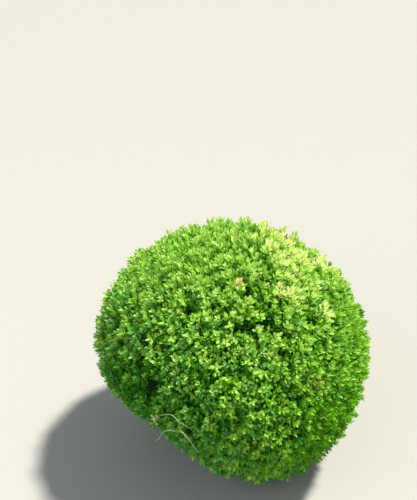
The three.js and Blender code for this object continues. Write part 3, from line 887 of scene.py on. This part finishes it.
def grow_leaves(settings):
    """All leaves, as feet, directions, upper sides, lengths, widths and tints."""
    parts = []
    for level, pairs in ((SHOOT, LEAF_PAIRS), (INNER, INNER_PAIRS)):
        inner = level == INNER
        columns = grow_shoots(settings, inner)
        directions, _, _, tips, axis, sprays, branches, number, thin, depth = columns
        east = unit(np.cross(np.broadcast_to([1.0, 0.2, 0.3], axis.shape), axis))
        north = np.cross(axis, east)
        tone = leaf_tone(directions, sprays, branches, number, depth, level)
        # Inner leaves take deep greens: partly older leaves, partly painted shade
        if inner:
            tone = tone * 0.4 + 3.6
        upright = 1 - 0.25 * bumps(directions, RUFFLED_PLACES + CALM_PLACES)
        for pair, (back, splay, share) in enumerate(pairs):
            tint = leaf_tint(tone, directions, sprays, number, pair, level)
            for opposite in (0, 1):
                leaf = (pair, opposite)
                turn = math.pi * (chance(level, number, 17) + pair / 2 + opposite)
                turn = turn + 0.25 * jitter(level, number, 18, *leaf)
                side = swung(east, north, turn)
                lean = splay * upright + 0.22 * jitter(level, number, 19, *leaf)
                out = swung(axis, side, lean)
                upper = swung(-side, axis, lean)
                twist = 0.28 * jitter(level, number, 20, *leaf)
                upper = swung(upper, np.cross(out, upper), twist)
                size = share * (1 + 0.18 * jitter(level, number, 21, *leaf))
                size = size * (1 - 0.15 * thin)
                foot = tips - axis * (back * (1 + 0.3 * thin))[:, None] + side * STALK
                length = settings.leaf_length * size
                width = settings.leaf_width * size
                end = foot + out * length[:, None]
                keeps = (end[:, 2] > LOWEST_LEAF) & clear_of_bare(foot + out * length[:, None] * 0.6)
                missing = 0.05 + 0.35 * thin * (pair > 2)
                keeps &= chance(level, number, 22, *leaf) > missing
                parts.append([part[keeps] for part in (foot, out, upper, length, width, tint)])
    return [np.concatenate(column) for column in zip(*parts)]


def dried_leaves(line):
    """The small dried leaves that cling to the twig beyond the bare bough."""
    i = np.arange(DRIED_LEAVES)
    feet = along(np.repeat(line[None], DRIED_LEAVES, axis=0), 0.15 + 0.85 * (i + 0.5) / DRIED_LEAVES)
    stray, turned = (
        np.stack([jitter(LIMB, i, key) for key in keys], axis=1)
        for keys in ((40, 41, 42), (43, 44, 45))
    )
    out = unit(stray + [-0.5, -0.6, 0.3])
    length = DRIED_LEAF_LENGTH * (1 + 0.25 * jitter(LIMB, i, 46))
    return leaf_points(feet, out, unit(np.cross(out, turned)), length, length * 0.5)


def hue(name, description, default):
    """A setting for a colour."""
    return FloatVectorProperty(
        name=name, description=description, default=default, subtype="COLOR", size=3, min=0.0, max=1.0,
    )


def amount(name, description, default, most, least=0.0, **kind):
    """A setting for a number."""
    return FloatProperty(name=name, description=description, default=default, min=least, max=most, **kind)


def metres(*values):
    """A setting for a distance."""
    return amount(*values, unit="LENGTH", subtype="DISTANCE")


def portion(*values):
    """A setting for a share."""
    return amount(*values, subtype="FACTOR")


def tally(name, description, default, least, most):
    """A setting for a whole number."""
    return IntProperty(name=name, description=description, default=default, min=least, max=most)


class WoodSettings(PropertyGroup):
    """Sizes and colours of the stem, the boughs and the twigs."""

    fissure_depth: metres("Fissure depth", "How deep the bark's plates are broken", 0.0016, 0.005)
    bark_light: hue("Light bark", "Colour of the bark's plates", (0.32, 0.26, 0.18))
    bark_dark: hue("Dark bark", "Colour between the bark's plates", (0.085, 0.062, 0.040))
    moss: hue("Green bloom", "Colour of the bloom on shaded bark", (0.20, 0.24, 0.10))
    # The bare bough's colour is its own weathered grey-green, darkened as painted shade
    bare_light: hue("Bare bough", "Colour of the weathered bare bough", (0.25, 0.37, 0.18))
    dried_leaf: hue("Dried leaf", "Colour of the dried leaves by the bare bough", (0.66, 0.68, 0.46))
    young_twig: hue("Young twig", "Colour of this year's twigs", (0.26, 0.34, 0.08))
    old_twig: hue("Old twig", "Colour of last year's twigs", (0.22, 0.17, 0.09))


class FoliageSettings(PropertyGroup):
    """Sizes and numbers of the sprays, shoots and leaves."""

    sprays: tally("Sprays", "Sprays round the ball", 1500, 200, 4000)
    shoots: tally("Shoots", "Leafy shoots round the ball", 5600, 1000, 20000)
    inner_shoots: tally("Inner shoots", "Leafy shoots in the shade behind the others", 4200, 500, 20000)
    leaf_length: metres("Leaf length", "Length of a full leaf", 0.0163, 0.04, 0.005)
    leaf_width: metres("Leaf width", "Width of a full leaf", 0.0074, 0.03, 0.003)
    tip_depth: metres("Tip depth", "From the clipped surface to the twigs' tips", 0.005, 0.03)
    tuft_depth: metres("Tuft depth", "How far sprays differ in height", 0.015, 0.03)
    tuft_dome: metres("Tuft roundness", "How far a spray's outer shoots fall back", 0.005, 0.02)
    inner_depth: metres("Inner depth", "From the clipped surface to the inner shoots' tips", 0.036, 0.08)
    new_growth: portion("New growth", "Share of shoots grown out since the last clip", 0.08, 1.0)
    thinning: portion("Thinning", "Share of shoots missing at the thin place", 0.42, 1.0)
    gloss: portion("Leaf roughness", "Roughness of the leaves' skin", 0.34, 1.0)
    glow: portion("Light through leaves", "How much light passes the leaves", 1.0, 2.0)


class StageSettings(PropertyGroup):
    """The floor, the lights and the camera."""

    floor_colour: hue("Floor", "Colour of the floor and the backdrop", (0.40, 0.397, 0.385))
    key_strength: amount("Key light", "Strength of the warm light from the upper right", 6.2, 50.0)
    key_softness: amount(
        "Key softness", "How wide the warm light looks", math.radians(6), math.pi,
        unit="ROTATION", subtype="ANGLE",
    )
    fill_power: amount(
        "Fill light", "Power of the soft light from the front left", 36.0, 1000.0, unit="POWER",
    )
    sky: amount("Room light", "Strength of the even light from above", 0.38, 5.0)
    horizon: amount("Horizon light", "Brightness of the room behind the floor", 0.80, 5.0)
    lens: amount(
        "Lens", "Focal length of the camera", FOCAL_PIXELS * SENSOR / FRAME_HEIGHT_PIXELS, 200.0, 10.0,
        unit="CAMERA",
    )


class TOPIARY_OT_main_stem(Operator):
    """Build the main stem with its root flare and bark"""

    bl_idname = "topiary.main_stem"
    bl_label = "Main stem"

    def execute(self, context):
        wood = context.scene.box_wood
        line = stem_line(STEM_RINGS)
        sunk = int(np.argmax(line[:, 2] > 0))
        above = line[sunk:].copy()
        above[0] += (above[1] - above[0]) * -above[0, 2] / (above[1, 2] - above[0, 2])

        def radius_at(share, angles):
            first = sunk / STEM_RINGS
            share = first + (1 - first) * share
            flare = FLARE_RADIUS * math.exp(-share / FLARE_SHARE)
            lobes = 1 + FLARE_LOBE_DEPTH * np.cos(angles * FLARE_LOBES)
            return STEM_RADIUS + (STEM_TOP_RADIUS - STEM_RADIUS) * share + flare * lobes

        points, faces = barked(above, radius_at, STEM_SIDES, wood.fissure_depth, 95)
        level = np.repeat(above[:, 2], STEM_SIDES)
        points[:, 2] = level + (points[:, 2] - level) * np.clip(level / 0.025, 0, 1)
        material = live_bark("stem_bark", wood, 130.0)
        add_piece("main_stem_bark", (points, faces), material, ["main_stem"])
        return {"FINISHED"}


class TOPIARY_OT_boughs(Operator):
    """Build the seven boughs, from the stem to the ball's inner wall"""

    bl_idname = "topiary.boughs"
    bl_label = "Boughs"

    def execute(self, context):
        wood = context.scene.box_wood
        material = live_bark("bough_bark", wood, 170.0)
        for number in range(BOUGHS):
            line, _, tip = bough_parts(number)
            line = even_steps(line, BOUGH_RINGS)
            shape = barked(line, taper(BOUGH_RADIUS, tip), BOUGH_SIDES, wood.fissure_depth * 0.8, 140)
            node = f"bough_{number + 1}"
            add_piece(f"{node}_bark", shape, material, [node])
        return {"FINISHED"}


class TOPIARY_OT_bare_bough(Operator):
    """Build the bare bough and its fork, which show at the thin place"""

    bl_idname = "topiary.bare_bough"
    bl_label = "Bare bough"

    def execute(self, context):
        wood = context.scene.box_wood
        dark = tuple(c * 0.55 for c in wood.bare_light)
        # The bare wood's bark, its colour darkened as painted shade
        material = bark_material("weathered_shaded_twig", wood.bare_light, dark, wood.moss, 260.0)
        bough, fork = bare_lines(BARE_RINGS)
        radius_at = taper(BARE_BOUGH_RADIUS, BARE_BOUGH_TIP_RADIUS * 0.8, 0.7)
        shape = barked(bough, radius_at, BARE_SIDES, 0.0007, 230)
        add_piece("bare_bough_bark", shape, material, ["bare_bough"])
        fork = fork[int(len(fork) * BARE_FORK_START) :]
        radius_at = taper(BARE_FORK_RADIUS * 0.85, BARE_FORK_TIP_RADIUS * 0.85, 0.6)
        shape = barked(fork, radius_at, BARE_FORK_SIDES, 0.0005, 230)
        add_piece("bare_bough_fork_bark", shape, material, ["bare_bough_fork"])
        elbows, tips = grow_shoots(context.scene.box_foliage, False, leafless=True)[2:4]
        ends = elbows + (tips - elbows) * BARE_TWIG_LENGTH
        lines = np.stack([elbows, ends, ends + (tips - ends) * 0.5], axis=1)
        leafless = tubes(lines, [BARE_TWIG_RADIUS, BARE_TWIG_RADIUS * 0.8, BARE_TWIG_RADIUS * 0.4], 4)
        dried = bends_line(DRIED_TWIG_BENDS, 16)
        radii = np.linspace(DRIED_TWIG_RADIUS * 1.3, DRIED_TWIG_RADIUS * 0.7, len(dried))
        shape = join([leafless, tubes([dried], radii, 4)])
        add_piece("leafless_twigs", shape, material, ["clipped_ball"])
        material = leaf_material("dried_leaf", wood.dried_leaf, 0.6, 0.15)
        add_piece("dried_leaves", dried_leaves(dried), material, ["clipped_ball"])
        return {"FINISHED"}


class TOPIARY_OT_inner_wood(Operator):
    """Build the ball's own stem, its limbs, and the spurs and branches inside it"""

    bl_idname = "topiary.inner_wood"
    bl_label = "Inner wood"

    def execute(self, context):
        levels = grow_wood(context.scene.box_foliage)
        stem, *limbs = ball_limb_lines()
        plan = [
            ([stem], BALL_STEM_RADIUS, BALL_LIMB_RADIUS + 0.001, 12),
            (limbs, BALL_LIMB_RADIUS, BALL_LIMB_TIP_RADIUS, 10),
        ]
        for number in range(BOUGHS):
            _, line, start = bough_parts(number)
            plan.append(([even_steps(line, 20)], start, 0.003, 10))
        for name, radius, sides in (("spur", SPUR_RADIUS, 6), ("branch", BRANCH_RADIUS, 5)):
            plan.append((levels[name][1], radius, radius * 0.45, sides))
        shape = join(
            tubes(lines, np.linspace(start, end, len(lines[0])), sides) for lines, start, end, sides in plan
        )
        material = live_bark("inner_bark", context.scene.box_wood, 190.0)
        add_piece("inner_wood", shape, material, ["clipped_ball"])
        return {"FINISHED"}


class TOPIARY_OT_twigs(Operator):
    """Build the twigs of the sprays and the leafy shoots"""

    bl_idname = "topiary.twigs"
    bl_label = "Twigs"

    def execute(self, context):
        wood = context.scene.box_wood
        foliage = context.scene.box_foliage
        lines = grow_wood(foliage)["spray"][1]
        shapes = [tubes(lines, np.linspace(SPRAY_RADIUS, SPRAY_RADIUS * 0.6, lines.shape[1]), 4)]
        for inner in (False, True):
            lines = np.stack(grow_shoots(foliage, inner)[1:4], axis=1)
            shapes.append(tubes(lines, [SHOOT_RADIUS, SHOOT_RADIUS * 0.85, SHOOT_RADIUS * 0.5], 3))
        material = twig_material("twig_skin", wood.young_twig, wood.old_twig)
        add_piece("twigs", join(shapes), material, ["clipped_ball"])
        return {"FINISHED"}


class TOPIARY_OT_leaves(Operator):
    """Build the leaves, joined by tint"""

    bl_idname = "topiary.leaves"
    bl_label = "Leaves"

    def execute(self, context):
        foliage = context.scene.box_foliage
        *columns, tint = grow_leaves(foliage)
        most = MOST_FACES // len(LEAF_OUTLINE)
        for kind, (name, colour, glow) in enumerate(LEAF_TINTS):
            rows = np.flatnonzero(tint == kind)
            if not len(rows):
                raise RuntimeError(f"no leaf took the tint {name}")
            material = leaf_material(f"{name}_leaf", colour, foliage.gloss, glow * foliage.glow)
            shares = np.array_split(rows, -(-len(rows) // most))
            for part, share in enumerate(shares, 1):
                shape = leaf_points(*(column[share] for column in columns))
                add_piece(f"{name}_leaves_{part}", shape, material, ["clipped_ball"])
        return {"FINISHED"}


class TOPIARY_OT_stage(Operator):
    """Set the pale floor, the soft lights and the camera"""

    bl_idname = "topiary.stage"
    bl_label = "Stage"

    def execute(self, context):
        scene = context.scene
        stage = scene.box_stage
        add_floor(stage.floor_colour)
        add_light(
            "key_light", "SUN", Vector(KEY_SIDE), (1.0, 0.95, 0.84),
            energy=stage.key_strength, angle=stage.key_softness,
        )
        fill = add_light(
            "fill_light", "AREA", Vector(FILL_PLACE) - Vector((0.0, 0.0, 0.3)), (0.84, 0.94, 1.0),
            shape="SQUARE", size=2.6, energy=stage.fill_power,
        )
        fill.location = FILL_PLACE
        scene.world = room(stage.sky, stage.horizon)
        data = bpy.data.cameras.new("camera")
        data.lens = stage.lens
        data.sensor_width = SENSOR
        data.sensor_fit = "AUTO"
        camera = add_object("camera", data)
        camera.location = CAMERA_PLACE
        camera.rotation_euler = (math.pi / 2 - CAMERA_PITCH, 0.0, CAMERA_TURN)
        scene.camera = camera
        scene.view_settings.view_transform = "Standard"
        return {"FINISHED"}


def add_light(name, kind, side, colour, **settings):
    """A light that shines from a side."""
    data = bpy.data.lights.new(name, kind)
    data.color = colour
    for setting, value in settings.items():
        setattr(data, setting, value)
    light = add_object(name, data)
    light.rotation_euler = side.to_track_quat("Z", "Y").to_euler()
    return light


def room(overhead, horizon):
    """An even soft light all round, paler towards the floor's far edge."""
    world = bpy.data.worlds.new("room")
    world.use_nodes = True
    tree = world.node_tree
    place = tree.nodes.new("ShaderNodeTexCoord").outputs["Generated"]
    parts = add_node(tree, "ShaderNodeSeparateXYZ", Vector=place)
    high = (overhead * 0.95, overhead * 0.98, overhead)
    low = (horizon, horizon * 0.97, horizon * 0.90)
    sky = ramp(tree, parts.outputs["Z"], [(0.0, low), (0.03, low), (0.22, high)])
    tree.links.new(sky, tree.nodes["Background"].inputs["Color"])
    return world


def add_floor(colour):
    """A wide round floor."""
    turns = [2 * math.pi * k / FLOOR_SIDES for k in range(FLOOR_SIDES)]
    rim = [(FLOOR_RADIUS * math.cos(turn), FLOOR_RADIUS * math.sin(turn), 0.0) for turn in turns]
    faces = [(0, k + 1, (k + 1) % FLOOR_SIDES + 1) for k in range(FLOOR_SIDES)]
    mesh = bpy.data.meshes.new("floor")
    mesh.from_pydata([(0.0, 0.0, 0.0), *rim], [], faces)
    material, _, shader = new_material("pale_floor", 0.9)
    shader.inputs["Base Color"].default_value = (*colour, 1.0)
    mesh.materials.append(material)
    floor = add_object("floor", mesh)


OPERATORS = (
    TOPIARY_OT_stage, TOPIARY_OT_main_stem, TOPIARY_OT_boughs, TOPIARY_OT_bare_bough,
    TOPIARY_OT_inner_wood, TOPIARY_OT_twigs, TOPIARY_OT_leaves,
)


class TOPIARY_PT_sidebar(Panel):
    """The sidebar panel of the box ball"""

    bl_label = "Box Ball"
    bl_idname = "TOPIARY_PT_sidebar"
    bl_space_type = "VIEW_3D"
    bl_region_type = "UI"
    bl_category = "Box Ball"

    def draw(self, context):
        for operator in OPERATORS:
            self.layout.operator(operator.bl_idname)
        for settings in (context.scene.box_wood, context.scene.box_foliage, context.scene.box_stage):
            box = self.layout.box()
            for name in settings.bl_rna.properties.keys():
                if name not in ("rna_type", "name"):
                    box.prop(settings, name)


CLASSES = (WoodSettings, FoliageSettings, StageSettings, *OPERATORS, TOPIARY_PT_sidebar)


def register():
    """Registers the classes and puts the settings on the scene."""
    for kind in CLASSES:
        bpy.utils.register_class(kind)
    bpy.types.Scene.box_wood = PointerProperty(type=WoodSettings)
    bpy.types.Scene.box_foliage = PointerProperty(type=FoliageSettings)
    bpy.types.Scene.box_stage = PointerProperty(type=StageSettings)


def unregister():
    """Takes the settings and the classes away again."""
    del bpy.types.Scene.box_stage
    del bpy.types.Scene.box_foliage
    del bpy.types.Scene.box_wood
    for kind in reversed(CLASSES):
        bpy.utils.unregister_class(kind)


def main():
    register()
    bpy.ops.topiary.stage()
    bpy.ops.topiary.main_stem()
    bpy.ops.topiary.boughs()
    bpy.ops.topiary.bare_bough()
    bpy.ops.topiary.inner_wood()
    bpy.ops.topiary.twigs()
    bpy.ops.topiary.leaves()


if __name__ == "__main__":
    main()
